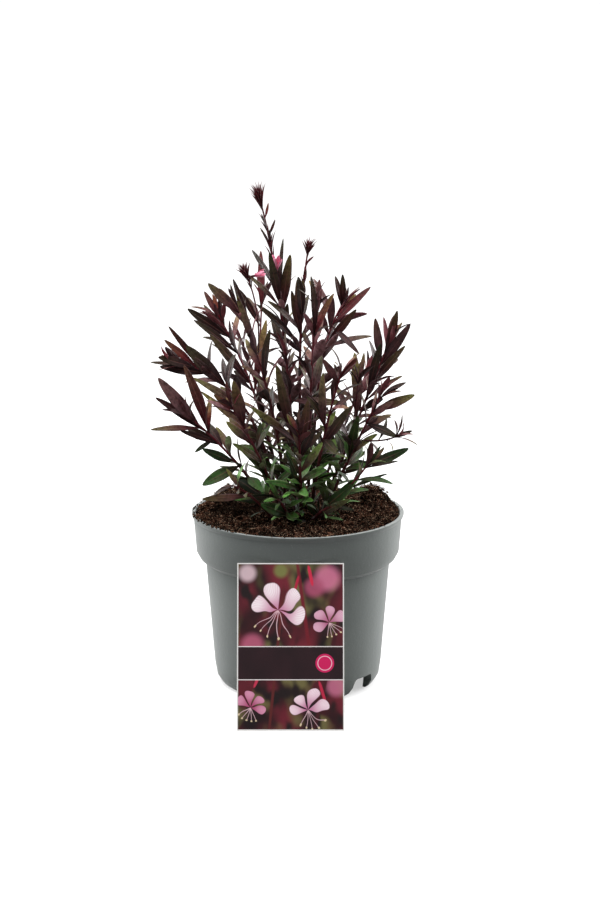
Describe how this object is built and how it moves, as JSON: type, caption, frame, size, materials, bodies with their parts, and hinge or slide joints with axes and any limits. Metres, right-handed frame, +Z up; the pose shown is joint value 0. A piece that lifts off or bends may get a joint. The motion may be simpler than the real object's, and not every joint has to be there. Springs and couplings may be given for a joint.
{
  "type": "potted gaura",
  "caption": "Upright potted perennial with dark narrow leaves, slender bud spikes and half-open flowers, in a round tapered nursery pot with a leaning picture card.",
  "frame": {"origin": "middle of the underside of the bounding box, on the ground the pot and the card stand on", "axes": "+Z up along the pot's axis, -Y towards the card's printed face, +X to the right seen from the card's side"},
  "size_m": [0.211, 0.2262, 0.4053],
  "materials": {
    "pot": "moulded, matt, grey",
    "peat": "crumbly, dark brown",
    "card": "smooth printed board",
    "dark_leaf": "satin, dark wine red with olive",
    "green_leaf": "satin, green",
    "petal": "soft, pink"
  },
  "bodies": {
    "root": {"pot": "pot", "soil": "peat", "label_card": "card", "stem_spike_tall": "dark_leaf", "stem_spike_right": "dark_leaf", "stem_top_right": "dark_leaf", "stem_right_high": "dark_leaf", "stem_right": "dark_leaf", "stem_right_low": "dark_leaf", "stem_right_front": "dark_leaf", "stem_front": "dark_leaf", "stem_left_top": "dark_leaf", "stem_spike_left": "dark_leaf", "stem_left": "dark_leaf", "stem_left_low": "dark_leaf", "stem_left_inner": "dark_leaf", "stem_left_front": "green_leaf", "stem_front_right": "green_leaf", "stem_front_left": "green_leaf", "stem_back": "dark_leaf", "stem_back_left": "dark_leaf", "stem_back_right": "dark_leaf", "stem_middle_left": "dark_leaf", "stem_middle_right": "dark_leaf", "flower_upper": "petal", "flower_lower": "petal"}
  },
  "joints": []
}
